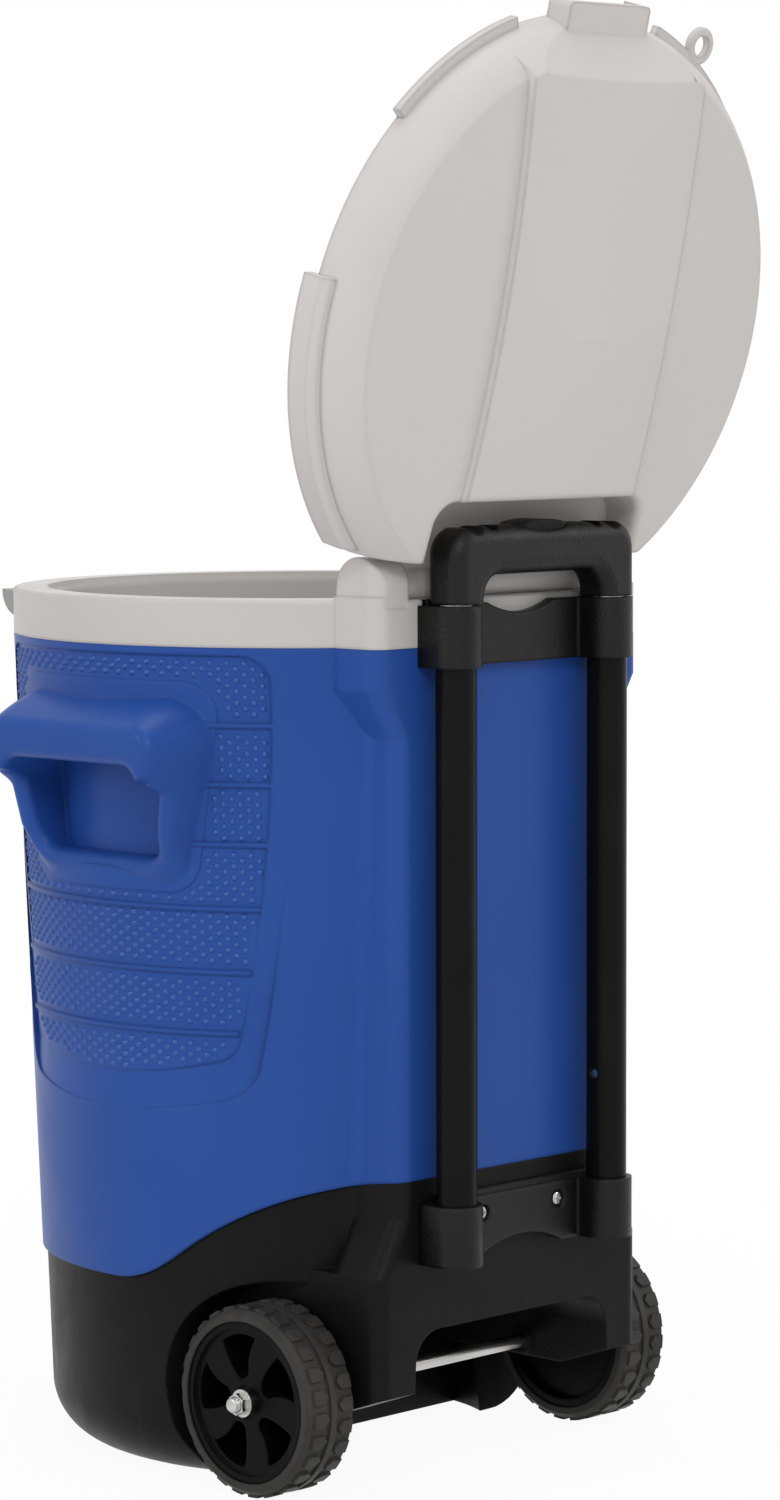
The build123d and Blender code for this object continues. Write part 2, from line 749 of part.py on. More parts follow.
def tube_guide(side):
    guide = rod_z(inner_radius - inner_wall, side * tube_x, tube_y, inner_low_z, inner_low_z + 12)
    guide += rod_z(inner_radius, side * tube_x, tube_y, inner_low_z - 6, inner_low_z)
    return guide - rod_z(5.0, side * tube_x, tube_y, inner_low_z - 10, inner_low_z + 20)


# Lid, drawn closed
def lid_low():
    return collar_top_z + lid_gap


def lid_cap(inset, rise=0.0):
    low = lid_low()
    edge = lid_radius - inset
    shoulder = lid_shoulder_radius - inset
    height = lid_shoulder - inset
    crown = lid_crown - inset + rise
    brim = Polyline((0, low + crown), (0, low), (edge, low), (edge, low + 5))
    wall = ThreePointArc((edge, low + 5), (edge - 5, low + 0.65 * height), (shoulder, low + height + rise))
    sphere = (shoulder**2 + (crown - height - rise) ** 2) / (2 * (crown - height - rise))
    half_way = sphere - sqrt(sphere**2 - shoulder**2 / 4)
    top = ThreePointArc((shoulder, low + height + rise), (shoulder / 2, low + crown - half_way), (0, low + crown))
    return revolve(Plane.XZ * make_face(Curve() + [brim, wall, top]), Axis.Z)


def lid_band():
    low = lid_low()
    outline = make_face(
        Polyline((-band_half - 9, low), (band_half + 9, low), (band_half - 3, low + 50),
                 (-band_half + 3, low + 50), close=True)
    )
    prism = extrude(Plane.XZ * outline, amount=220, both=True)
    return lid_cap(0.0, band_rise) & prism


# Hollow at the lid's rear that leaves room for the tow grip when the lid is open
def lid_recess():
    floor = hinge_z + recess_floor
    near = hinge_y - recess_reach
    far = near - recess_slope * 60
    outline = make_face(
        Polyline((near, floor), (far, floor + 60), (250, floor + 60), (250, floor), close=True)
    )
    hollow = side_prism(outline, -recess_half, recess_half)
    near_wall = hollow.faces().sort_by(Axis.Y)[0]
    upright = [edge for edge in near_wall.edges() if edge.bounding_box().size.X < 1.0]
    return fillet(upright, recess_corner)


# Domed top with the raised band, the front scoop and the rear recess, whose rim is rolled over
def lid_dome():
    recess = lid_recess()
    dome = lid_cap(0.0) + lid_band() - lid_scoop()
    dome -= box(-300, 300, hinge_y, 300, 400, 600)
    dome -= recess
    rim = []
    for edge in dome.edges():
        curved = edge.geom_type != GeomType.LINE and edge.length > 15.0
        touching = recess.distance_to(Vertex(*(edge @ 0.5))) < 0.01
        if curved and touching and edge.center().Z > hinge_z + 20.0:
            rim.append(edge)
    return fillet(rim, recess_rim_round)


def lid_ear_cuts():
    gap = hinge_y - ear_round - 3.2
    return both_sides(box(barrel_half + 0.7, 200, gap, 250, 400, 600))


def lid_lip():
    start, end = 19.0, 50.0
    ring = rod_z(lid_radius + 5.5, 0, 0, lid_low(), lid_low() + 5.0)
    ring -= rod_z(lid_radius - 6, 0, 0, lid_low() - 1, lid_low() + 6)
    points = [(0, 0)]
    for angle in (start, (start + end) / 2, end):
        points.append((300 * sin(radians(angle)), -300 * cos(radians(angle))))
    wedge = Pos(0, 0, lid_low() - 5) * extrude(make_face(Polyline(*points, close=True)), amount=20)
    return ring & wedge


# Sloped front face between two shoulders, where the catch stands
def lid_scoop(grow=0.0):
    low = lid_low()
    top = (-scoop_top_y + grow, low + scoop_top)
    foot = (-lid_radius - 12 + grow, low + scoop_top - scoop_slope * (lid_radius + 12 - scoop_top_y))
    outline = make_face(Polyline(top, foot, (foot[0] - 40, foot[1]), (foot[0] - 40, low + 90),
                                 (top[0], low + 90), close=True))
    half = scoop_half + grow
    return side_prism(outline, -half, half)


# Skirt that hangs over the collar along the rear half of the rim
def lid_skirt():
    low = lid_low()
    ring = rod_z(skirt_radius, 0, 0, low - skirt_drop, low + skirt_rise)
    ring = chamfer(ring.faces().sort_by(Axis.Z)[-1].edges(), 4.0)
    ring -= rod_z(rim_radius + 0.8, 0, 0, low - skirt_drop - 1, low + skirt_rise + 1)
    window = box(0, 300, skirt_front_y, hinge_y - ear_round - 6.0, 0, 900)
    return both_sides((ring & window) - lid_cap(0.0))


def tether_loop():
    angle = radians(31.3)
    reach = lid_radius + 13.0
    centre = (-reach * sin(angle), -reach * cos(angle), lid_low() + 3.0)
    ring = Cylinder(10.2, 4.4)
    ring = chamfer(ring.edges().filter_by(GeomType.CIRCLE), 1.2)
    return Pos(*centre) * (ring - Cylinder(5.8, 10))


def lid_catch():
    low = lid_low()
    block = box(-latch_half, latch_half, -173.0, -150.0, low + 2.0, low + 18.0)
    block = fillet(block.edges().filter_by(Axis.Z).sort_by(Axis.Y)[:2], 3.0)
    return block - box(-latch_half + 4, latch_half - 4, -180, -169.5, low - 5, low + 13.0)


def lid_cavity():
    inner = lid_cap(lid_wall)
    rear = box(-recess_half - 4, recess_half + 4, hinge_y - recess_reach - 20, 250, 400, 600)
    return inner - rear - lid_ear_cuts_wall() - lid_scoop(lid_wall)


def lid_ear_cuts_wall():
    gap = hinge_y - ear_round - 3.2 - lid_wall
    return both_sides(box(barrel_half - 4, 200, gap, 250, 400, 600))


def lid_shell():
    shell = lid_dome() + lid_skirt()
    shell += rod_x(barrel_radius, -barrel_half, barrel_half, hinge_y, hinge_z)
    shell -= lid_ear_cuts()
    shell += both_sides(lid_lip()) + lid_catch()
    shell += tether_loop() - lid_cap(0.0)
    shell -= lid_cavity()
    return shell - rod_x(hinge_pin_radius + 0.06, -120, 120, hinge_y, hinge_z)


def lid_plate():
    plate = lid_cavity() & rod_z(300, 0, 0, lid_low(), lid_low() + 3.0)
    plug = rod_z(mouth_radius - 3.0, 0, 0, lid_low() - 10.0, lid_low())
    return plate + plug - rod_x(barrel_radius + 1.0, -120, 120, hinge_y, hinge_z)


def lid_foam():
    return lid_cavity() - rod_z(300, 0, 0, lid_low() - 1, lid_low() + 3.0)


def opened(piece):
    return piece.rotate(Axis((0, hinge_y, hinge_z), (1, 0, 0)), -lid_open_angle)


# Front latch, drawn swung out as it hangs on its stop
def front_latch():
    root_y = latch_pivot_y - 5
    outline = make_face(
        Curve()
        + [
            Line((root_y, latch_pivot_z - 6.4), (latch_tip_y, latch_pivot_z - 0.4)),
            ThreePointArc((latch_tip_y, latch_pivot_z - 0.4), (latch_tip_y + 5, latch_pivot_z - 12.5),
                          (latch_tip_y + 19, latch_pivot_z - 16)),
            Line((latch_tip_y + 19, latch_pivot_z - 16), (root_y, latch_pivot_z - 16)),
            Line((root_y, latch_pivot_z - 16), (root_y, latch_pivot_z - 6.4)),
        ]
    )
    lever = side_prism(outline, -latch_half, latch_half)
    for side in (-1, 1):
        x0, x1 = sorted((side * (latch_half - 8), side * latch_half))
        lever += rod_x(4.2, x0, x1, latch_pivot_y, latch_pivot_z)
        arm = make_face(
            Polyline((latch_pivot_y - 4.2, latch_pivot_z), (latch_pivot_y + 4.2, latch_pivot_z),
                     (latch_pivot_y + 2, latch_pivot_z - 9), (root_y - 4, latch_pivot_z - 12),
                     (root_y - 4, latch_pivot_z - 5), close=True)
        )
        lever += side_prism(arm, x0, x1)
    hook_y = latch_pivot_y - 28.2
    lever += box(-latch_half + 6, latch_half - 6, hook_y - 4, hook_y, latch_pivot_z - 8, latch_pivot_z + 4.0)
    return lever - rod_x(latch_pin_radius + 0.06, -60, 60, latch_pivot_y, latch_pivot_z)


def latch_pin():
    return rod_x(latch_pin_radius, -latch_half - 5.3, latch_half + 5.3, latch_pivot_y, latch_pivot_z)


# Front tap: a body through the pocket wall and the liner, with a push button on its front
def tap_body():
    face = tap_pocket_y
    body = rod_y(tap_bore, 0, -121, face - 2.0, tap_z) + rod_y(15.0, 0, face - 6.0, face - 2.0, tap_z)
    body += rod_y(12.0, 0, face - 34.0, face - 2.0, tap_z)
    body += rod_z(7.5, 0, face - 20.0, tap_z - 27.0, tap_z)
    body -= rod_y(8.0, 0, face - 40.0, face - 14.0, tap_z)
    body -= rod_y(4.5, 0, -200, -100, tap_z)
    return body - rod_z(5.0, 0, face - 20.0, tap_z - 40.0, tap_z)


def tap_button():
    face = tap_pocket_y
    button = rod_y(7.7, 0, face - 42.0, face - 28.0, tap_z)
    button = chamfer(button.faces().sort_by(Axis.Y)[0].edges(), 1.5)
    return button + rod_y(3.0, 0, face - 28.0, face - 8.0, tap_z)


def tap_gasket():
    ring = rod_y(13.0, 0, tap_pocket_y - 2.0, tap_pocket_y, tap_z)
    return ring - rod_y(tap_bore, 0, -160, -100, tap_z)


def tap_nut():
    nut = extrude(Plane((0, -121.0, tap_z), x_dir=(1, 0, 0), z_dir=(0, -1, 0)) * RegularPolygon(12.0, 6), 6.0)
    return nut - rod_y(tap_bore, 0, -160, -100, tap_z)


def left_right(name, make):
    return {name + "_left": make(1), name + "_right": make(-1)}


def mirrored(name, piece):
    return {name + "_left": piece, name + "_right": mirror(piece, Plane.YZ)}


pieces = {
    "outer_shell": outer_shell(),
    "liner": liner(),
    "insulation_foam": insulation_foam(),
    "collar": collar(),
    "base": base(),
    "axle": axle(),
    "axle_washers": axle_ring(7.5, wheel_outer_x + 0.4, wheel_outer_x + 1.6),
    "axle_nuts": axle_ring(5.5, wheel_outer_x + 1.6, wheel_outer_x + 3.8),
    "axle_spacers": axle_ring(9.0, well_inner_x, wheel_inner_x - 0.4),
    "upper_bracket": upper_bracket(),
    "lower_bracket": lower_bracket(),
    "upper_bracket_screws": upper_screws(),
    "lower_bracket_screws": lower_screws(),
    "latch_pin": latch_pin(),
    "tap_body": tap_body(),
    "tap_gasket": tap_gasket(),
    "tap_nut": tap_nut(),
    "tap_button": tap_button(),
    "front_latch": front_latch(),
    "lid_shell": opened(lid_shell()),
    "lid_plate": opened(lid_plate()),
    "lid_foam": opened(lid_foam()),
    "handle_grip": tow_grip(),
    "release_button": release_button(),
    "release_bar": release_bar(),
    "button_spring": button_spring(),
}
pieces.update(left_right("hinge_pin", hinge_pin))
pieces.update(left_right("outer_tube", outer_tube))
pieces.update(left_right("inner_tube", inner_tube))
pieces.update(left_right("tube_guide", tube_guide))
pieces.update(left_right("push_rod", push_rod))
pieces.update(left_right("lock_pin", lock_pin))
pieces.update(mirrored("wheel_rim", wheel_rim()))
pieces.update(mirrored("tyre", tyre()))

os.makedirs("parts", exist_ok=True)
for name, piece in pieces.items():
    export_step(piece, f"parts/{name}.step")
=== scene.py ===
import json
import math

import bmesh
import bpy
from mathutils import Matrix, Vector


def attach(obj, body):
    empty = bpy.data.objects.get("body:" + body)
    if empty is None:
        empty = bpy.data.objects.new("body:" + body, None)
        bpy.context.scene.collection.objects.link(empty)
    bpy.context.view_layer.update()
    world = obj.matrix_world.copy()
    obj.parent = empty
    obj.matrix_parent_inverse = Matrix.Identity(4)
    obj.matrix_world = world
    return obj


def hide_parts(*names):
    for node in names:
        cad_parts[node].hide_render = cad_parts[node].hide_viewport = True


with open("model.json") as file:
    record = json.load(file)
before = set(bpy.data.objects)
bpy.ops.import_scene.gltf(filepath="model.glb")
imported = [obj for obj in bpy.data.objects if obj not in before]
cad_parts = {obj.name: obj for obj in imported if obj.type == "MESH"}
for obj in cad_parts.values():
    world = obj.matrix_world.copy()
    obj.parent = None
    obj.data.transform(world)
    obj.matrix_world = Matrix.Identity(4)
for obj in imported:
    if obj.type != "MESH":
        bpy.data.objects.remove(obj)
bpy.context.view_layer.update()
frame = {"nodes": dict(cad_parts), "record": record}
cadNodes = frame["nodes"]
print("frame loaded:", len(cadNodes), "nodes")


# small helpers for node materials

noiseLook = {
    "cloudDetail": 4.0, "grainDetail": 2.0, "streakDetail": 3.0, "patchShare": 3.0, "edgeSamples": 4,
}


def startMaterial(name):
    material = bpy.data.materials.new(name)
    material.use_nodes = True
    tree = material.node_tree
    shader = tree.nodes["Principled BSDF"]
    return material, tree, shader


def addNode(tree, kind, **settings):
    node = tree.nodes.new(kind)
    for key, value in settings.items():
        setattr(node, key, value)
    return node


def noiseField(tree, scale, detail=noiseLook["cloudDetail"], stretch=None):
    where = addNode(tree, "ShaderNodeTexCoord")
    noise = addNode(tree, "ShaderNodeTexNoise")
    noise.inputs["Scale"].default_value = scale
    noise.inputs["Detail"].default_value = detail
    if stretch is None:
        tree.links.new(where.outputs["Object"], noise.inputs["Vector"])
    else:
        mapping = addNode(tree, "ShaderNodeMapping")
        mapping.inputs["Scale"].default_value = stretch
        tree.links.new(where.outputs["Object"], mapping.inputs["Vector"])
        tree.links.new(mapping.outputs["Vector"], noise.inputs["Vector"])
    return noise.outputs["Fac"]


def spread(tree, field, low, high, fromLow=0.3, fromHigh=0.7):
    ramp = addNode(tree, "ShaderNodeMapRange")
    ramp.inputs["From Min"].default_value = fromLow
    ramp.inputs["From Max"].default_value = fromHigh
    ramp.inputs["To Min"].default_value = low
    ramp.inputs["To Max"].default_value = high
    tree.links.new(field, ramp.inputs["Value"])
    return ramp.outputs["Result"]


def twoTone(tree, field, first, second):
    mix = addNode(tree, "ShaderNodeMix", data_type="RGBA")
    mix.inputs["A"].default_value = (*first, 1.0)
    mix.inputs["B"].default_value = (*second, 1.0)
    tree.links.new(field, mix.inputs["Factor"])
    return mix.outputs["Result"]


def bumpFrom(tree, field, height, soft=0.0):
    bump = addNode(tree, "ShaderNodeBump")
    bump.inputs["Distance"].default_value = height
    bump.inputs["Strength"].default_value = 1.0
    tree.links.new(field, bump.inputs["Height"])
    if soft:
        edge = addNode(tree, "ShaderNodeBevel", samples=noiseLook["edgeSamples"])
        edge.inputs["Radius"].default_value = soft
        tree.links.new(edge.outputs["Normal"], bump.inputs["Normal"])
    return bump.outputs["Normal"]


# one moulded plastic recipe: two close tones, a fine grain and softened edges
def mouldedPlastic(name, recipe):
    material, tree, shader = startMaterial(name)
    tone = spread(tree, noiseField(tree, recipe["cloudScale"]), 0.0, 1.0)
    tree.links.new(twoTone(tree, tone, recipe["color"], recipe["shade"]), shader.inputs["Base Color"])
    grain = noiseField(tree, recipe["grainScale"], noiseLook["grainDetail"])
    low, high = recipe["roughness"]
    patch = noiseField(tree, recipe["cloudScale"] * noiseLook["patchShare"])
    tree.links.new(spread(tree, patch, low, high), shader.inputs["Roughness"])
    relief = bumpFrom(tree, grain, recipe["grainHeight"], recipe["softEdge"])
    tree.links.new(relief, shader.inputs["Normal"])
    shader.inputs["Specular IOR Level"].default_value = recipe["gloss"]
    return material


# bare metal with streaks that vary its tone and its shine
def bareMetal(name, recipe):
    material, tree, shader = startMaterial(name)
    streak = noiseField(tree, recipe["streakScale"], noiseLook["streakDetail"], recipe["stretch"])
    tone = spread(tree, streak, 0.0, 1.0)
    tree.links.new(twoTone(tree, tone, recipe["color"], recipe["shade"]), shader.inputs["Base Color"])
    low, high = recipe["roughness"]
    tree.links.new(spread(tree, streak, low, high), shader.inputs["Roughness"])
    relief = bumpFrom(tree, streak, recipe["grainHeight"], recipe["softEdge"])
    tree.links.new(relief, shader.inputs["Normal"])
    shader.inputs["Metallic"].default_value = 1.0
    return material


# colours are linear, grain heights and edge radii are in metres
blueSkin = {
    "color": (0.0200, 0.0760, 0.3300), "shade": (0.0165, 0.0670, 0.3020), "cloudScale": 7.0,
    "grainScale": 900.0, "grainHeight": 0.00008, "roughness": (0.34, 0.43),
    "softEdge": 0.003, "gloss": 0.18,
}
# the dots are the tub's own blue plastic: their lighter base colour is a painted highlight, while their
# lower roughness and higher gloss are real
dotSkinPaintedHighlight = {
    "color": (0.0250, 0.0880, 0.3600), "shade": (0.0210, 0.0780, 0.3320), "cloudScale": 7.0,
    "grainScale": 900.0, "grainHeight": 0.00004, "roughness": (0.20, 0.27),
    "softEdge": 0.0, "gloss": 0.38,
}
whiteSkin = {
    "color": (0.640, 0.612, 0.592), "shade": (0.608, 0.582, 0.563), "cloudScale": 6.0,
    "grainScale": 700.0, "grainHeight": 0.00006, "roughness": (0.38, 0.48),
    "softEdge": 0.0025, "gloss": 0.22,
}
lidSkin = {
    "color": (0.632, 0.604, 0.584), "shade": (0.600, 0.574, 0.555), "cloudScale": 6.0,
    "grainScale": 700.0, "grainHeight": 0.00008, "roughness": (0.40, 0.50),
    "softEdge": 0.004, "gloss": 0.20,
}
# the collar is the same white plastic as the lid: its darker colour is painted shade against the key
# lamp falling full on it, while its roughness and gloss are its own
collarSkinPaintedShade = {
    "color": (0.572, 0.547, 0.529), "shade": (0.544, 0.521, 0.504), "cloudScale": 6.0,
    "grainScale": 700.0, "grainHeight": 0.00005, "roughness": (0.30, 0.40),
    "softEdge": 0.003, "gloss": 0.30,
}
blackSkin = {
    "color": (0.0052, 0.0050, 0.0050), "shade": (0.0080, 0.0076, 0.0075), "cloudScale": 14.0,
    "grainScale": 1100.0, "grainHeight": 0.00022, "roughness": (0.33, 0.45),
    "softEdge": 0.002, "gloss": 0.10,
}
gripSkin = {
    "color": (0.0022, 0.0020, 0.0020), "shade": (0.0046, 0.0043, 0.0042), "cloudScale": 30.0,
    "grainScale": 900.0, "grainHeight": 0.00032, "roughness": (0.30, 0.42),
    "softEdge": 0.003, "gloss": 0.25,
}
tubeSkin = {
    "color": (0.0040, 0.0038, 0.0038), "shade": (0.0058, 0.0056, 0.0056), "cloudScale": 20.0,
    "grainScale": 1500.0, "grainHeight": 0.00003, "roughness": (0.26, 0.34),
    "softEdge": 0.001, "gloss": 0.09,
}
# the rims are the same black plastic as the other parts: their darker colour is painted shade for the
# shadow in the dished spokes
rimSkinPaintedShade = {
    "color": (0.0018, 0.0017, 0.0017), "shade": (0.0036, 0.0034, 0.0034), "cloudScale": 18.0,
    "grainScale": 1200.0, "grainHeight": 0.00010, "roughness": (0.26, 0.36),
    "softEdge": 0.002, "gloss": 0.07,
}
greySkin = {
    "color": (0.345, 0.340, 0.332), "shade": (0.310, 0.305, 0.298), "cloudScale": 22.0,
    "grainScale": 900.0, "grainHeight": 0.00006, "roughness": (0.40, 0.50),
    "softEdge": 0.0015, "gloss": 0.35,
}
tyreSkin = {
    "color": (0.0240, 0.0228, 0.0220), "shade": (0.0480, 0.0455, 0.0440), "cloudScale": 30.0,
    "grainScale": 1300.0, "grainHeight": 0.00020, "roughness": (0.44, 0.56),
    "softEdge": 0.0012, "gloss": 0.18,
}
foamFill = {
    "color": (0.78, 0.72, 0.52), "shade": (0.70, 0.63, 0.44), "cloudScale": 40.0,
    "grainScale": 500.0, "grainHeight": 0.0004, "roughness": (0.75, 0.9),
    "softEdge": 0.0, "gloss": 0.2,
}
brightSteel = {
    "color": (0.62, 0.61, 0.59), "shade": (0.48, 0.47, 0.46),
    "streakScale": 220.0, "stretch": (0.08, 1.0, 1.0),
    "grainHeight": 0.00002, "roughness": (0.22, 0.36), "softEdge": 0.0006,
}

bluePlastic = mouldedPlastic("blue_moulded_plastic", blueSkin)
dotPlasticPaintedHighlight = mouldedPlastic("blue_dot_plastic_painted_highlight", dotSkinPaintedHighlight)
whitePlastic = mouldedPlastic("white_moulded_plastic", whiteSkin)
lidPlastic = mouldedPlastic("white_lid_plastic", lidSkin)
collarPlasticPaintedShade = mouldedPlastic("white_collar_plastic_painted_shade", collarSkinPaintedShade)
blackPlastic = mouldedPlastic("black_grained_plastic", blackSkin)
gripPlastic = mouldedPlastic("black_grip_plastic", gripSkin)
blackTube = mouldedPlastic("black_coated_tube", tubeSkin)
rimPlasticPaintedShade = mouldedPlastic("black_rim_plastic_painted_shade", rimSkinPaintedShade)
greyPlastic = mouldedPlastic("grey_latch_plastic", greySkin)
tyreRubber = mouldedPlastic("tyre_rubber", tyreSkin)
foamCore = mouldedPlastic("foam_core", foamFill)
steel = bareMetal("bright_steel", brightSteel)
print("materials made")

# a finish for each slot of the record, and for the nodes that differ from their slot
finishes = {
    "blue_plastic": bluePlastic, "white_plastic": whitePlastic, "black_plastic": blackPlastic,
    "black_metal": blackTube, "grey_plastic": greyPlastic, "tyre": tyreRubber, "rubber": tyreRubber,
    "foam": foamCore, "steel": steel, "dark_steel": blackTube,
}
ownFinishes = {
    # the collar's finish carries painted shade in its darker white
    "lid_shell": lidPlastic, "collar": collarPlasticPaintedShade, "handle_grip": gripPlastic,
    "upper_bracket": gripPlastic, "lower_bracket": gripPlastic,
    # the wheel rims' darker finish is painted shade
    "wheel_rim_left": rimPlasticPaintedShade, "wheel_rim_right": rimPlasticPaintedShade,
}
for entry in frame["record"]["subparts"]:
    node = cadNodes[entry["node"]]
    node.data.materials.clear()
    node.data.materials.append(ownFinishes.get(entry["node"], finishes[entry["material_slot"]]))
print("CAD nodes finished")


def finishPiece(name, mesh, material, body):
    piece = bpy.data.objects.new(name, mesh)
    bpy.context.scene.collection.objects.link(piece)
    mesh.materials.append(material)
    for face in mesh.polygons:
        face.use_smooth = True
    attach(piece, body)
    return piece


def meshFrom(build, name):
    bmesh.ops.recalc_face_normals(build, faces=build.faces)
    mesh = bpy.data.meshes.new(name)
    build.to_mesh(mesh)
    build.free()
    return mesh


# join rings of equal length into a band of quads
def skinRings(build, rings):
    for first, second in zip(rings, rings[1:]):
        count = len(first)
        for index in range(count):
            after = (index + 1) % count
            build.faces.new((first[index], first[after], second[after], second[index]))


# raised dots on the recessed panel round each side grip
sideDots = {
    "pitchUp": 0.0060, "pitchRound": 0.0047, "radius": 0.00195, "height": 0.0014, "sink": 0.0003,
    "shoulder": 0.62, "columns": 18,
    "topZ": 0.4490, "lowZ": 0.223, "footRise": 0.011, "inset": 0.0026,
    "topHalf": 0.1005, "midHalf": 0.0964, "midZ": 0.345, "lowHalf": 0.078,
    "recess": 0.0016, "ribs": (0.4120, 0.3805, 0.3485, 0.3140, 0.2800, 0.2470), "ribClear": 0.0034,
    "segments": 12,
}
plainMargin = {
    "topZ": 0.435, "lowZ": 0.322, "topHalf": 0.0785, "lowHalf": 0.062, "corner": 0.018, "gap": 0.0020,
}
tubForm = {"lowZ": 0.109, "lowRadius": 0.150, "topZ": 0.4533, "topRadius": 0.163}


def tubRadius(z):
    share = (z - tubForm["lowZ"]) / (tubForm["topZ"] - tubForm["lowZ"])
    return tubForm["lowRadius"] + share * (tubForm["topRadius"] - tubForm["lowRadius"])


# half width of the panel at a height: a parabola through its top, middle and foot corners
def panelHalf(z):
    heights = (sideDots["topZ"], sideDots["midZ"], sideDots["lowZ"] + sideDots["footRise"])
    halves = (sideDots["topHalf"], sideDots["midHalf"], sideDots["lowHalf"])
    total = 0.0
    for index, half in enumerate(halves):
        share = half
        for other, height in enumerate(heights):
            if other != index:
                share *= (z - height) / (heights[index] - height)
        total += share
    return total


# the smooth frame round the grip carries no dots
def onMargin(y, z):
    low, high = plainMargin["lowZ"] - plainMargin["gap"], plainMargin["topZ"] + plainMargin["gap"]
    if not low < z < high:
        return False
    share = (z - plainMargin["lowZ"]) / (plainMargin["topZ"] - plainMargin["lowZ"])
    half = plainMargin["lowHalf"] + share * (plainMargin["topHalf"] - plainMargin["lowHalf"])
    half += plainMargin["gap"]
    corner = plainMargin["corner"]
    near = min(z - low, high - z)
    if near < corner:
        half -= corner - math.sqrt(corner ** 2 - (corner - near) ** 2)
    return abs(y) < half


def onPanel(y, z):
    foot = sideDots["lowZ"] + sideDots["footRise"] * (y / sideDots["lowHalf"]) ** 2 + sideDots["inset"]
    top = sideDots["topZ"] - sideDots["inset"]
    if not foot < z < top or onMargin(y, z):
        return False
    if abs(y) > panelHalf(z) - sideDots["inset"]:
        return False
    return all(abs(z - rib) > sideDots["ribClear"] for rib in sideDots["ribs"])


def addDot(build, spot, outward, upward):
    across = upward.cross(outward)
    rings = []
    count = sideDots["segments"]
    for share, sink in ((1.0, sideDots["sink"]), (sideDots["shoulder"], 0.0)):
        rise = sideDots["height"] * (1.0 - share ** 2) - sink
        ring = []
        for index in range(count):
            turn = 2.0 * math.pi * index / count
            flat = across * math.cos(turn) + upward * math.sin(turn)
            ring.append(build.verts.new(spot + flat * sideDots["radius"] * share + outward * rise))
        rings.append(ring)
    top = build.verts.new(spot + outward * sideDots["height"])
    for index in range(count):
        after = (index + 1) % count
        build.faces.new((rings[0][index], rings[0][after], rings[1][after], rings[1][index]))
        build.faces.new((rings[1][index], rings[1][after], top))


def dottedPanel(name, side):
    build = bmesh.new()
    rows = int((sideDots["topZ"] - sideDots["lowZ"]) / (sideDots["pitchUp"] / 2.0)) + 1
    made = 0
    for row in range(rows):
        z = sideDots["lowZ"] + row * sideDots["pitchUp"] / 2.0
        radius = tubRadius(z) - sideDots["recess"]
        step = 2.0 * sideDots["pitchRound"] / radius
        for column in range(-sideDots["columns"], sideDots["columns"] + 1):
            angle = (column + 0.5 * (row % 2)) * step
            y = radius * math.sin(angle)
            if not onPanel(y, z):
                continue
            outward = Vector((side * math.cos(angle), math.sin(angle), 0.0))
            spot = Vector((side * radius * math.cos(angle), y, z))
            addDot(build, spot, outward, Vector((0.0, 0.0, 1.0)))
            made += 1
    # the dots take the blue whose lighter colour is a painted highlight
    finishPiece(name, meshFrom(build, name), dotPlasticPaintedHighlight, "cooler")
    print(name, "dots:", made)


dottedPanel("side_dots_left", 1)
dottedPanel("side_dots_right", -1)


# hexagon nuts on the axle's ends, with the thread of the axle standing out of them
axleSpot = {"y": 0.09335, "z": 0.05155}
axleNut = {
    "seatX": 0.1438, "thick": 0.0046, "flat": 0.0052, "cornerFall": 0.6, "faceShare": 0.97,
    "bore": 0.0040, "boreEdge": 0.0005, "sunk": 0.0006,
    "threadRadius": 0.00375, "threadDepth": 0.00022, "pitch": 0.0009, "threadSteps": 20,
    "stub": 0.0030, "tipLength": 0.0005, "tipShare": 0.82, "around": 36,
}


def nutCorner(turn):
    part = (turn + math.pi / 6.0) % (math.pi / 3.0) - math.pi / 6.0
    return axleNut["flat"] / math.cos(part)


def addNut(build, side):
    count = axleNut["around"]
    turns = [2.0 * math.pi * index / count for index in range(count)]
    outerX = axleNut["seatX"] + axleNut["thick"]
    threadX = outerX - axleNut["sunk"]

    def ring(along, radiusAt):
        made = []
        for turn in turns:
            radius = radiusAt(turn)
            y = axleSpot["y"] + radius * math.cos(turn)
            z = axleSpot["z"] + radius * math.sin(turn)
            made.append(build.verts.new((side * along(turn), y, z)))
        return made

    def shoulder(turn):
        return outerX - axleNut["cornerFall"] * (nutCorner(turn) - axleNut["flat"])

    rings = [
        ring(lambda turn: axleNut["seatX"], nutCorner),
        ring(shoulder, nutCorner),
        ring(lambda turn: outerX, lambda turn: axleNut["flat"] * axleNut["faceShare"]),
        ring(lambda turn: outerX, lambda turn: axleNut["bore"] + axleNut["boreEdge"]),
        ring(lambda turn: threadX, lambda turn: axleNut["bore"]),
    ]
    for step in range(axleNut["threadSteps"] + 1):
        x = threadX + (axleNut["stub"] + axleNut["sunk"]) * step / axleNut["threadSteps"]

        def thread(turn, x=x):
            wave = math.cos(2.0 * math.pi * x / axleNut["pitch"] - turn)
            return axleNut["threadRadius"] + axleNut["threadDepth"] * wave

        rings.append(ring(lambda turn, x=x: x, thread))
    tip = outerX + axleNut["stub"] + axleNut["tipLength"]
    rings.append(ring(lambda turn: tip, lambda turn: axleNut["threadRadius"] * axleNut["tipShare"]))
    skinRings(build, rings)
    build.faces.new(rings[-1])
    build.faces.new(rings[0])


nutBuild = bmesh.new()
for side in (1, -1):
    addNut(nutBuild, side)
nutMesh = meshFrom(nutBuild, "axle_hex_nuts")
axleNuts = finishPiece("axle_hex_nuts", nutMesh, steel, "cooler")
axleNuts.data.shade_flat()
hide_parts("axle_nuts")
print("axle nuts made")


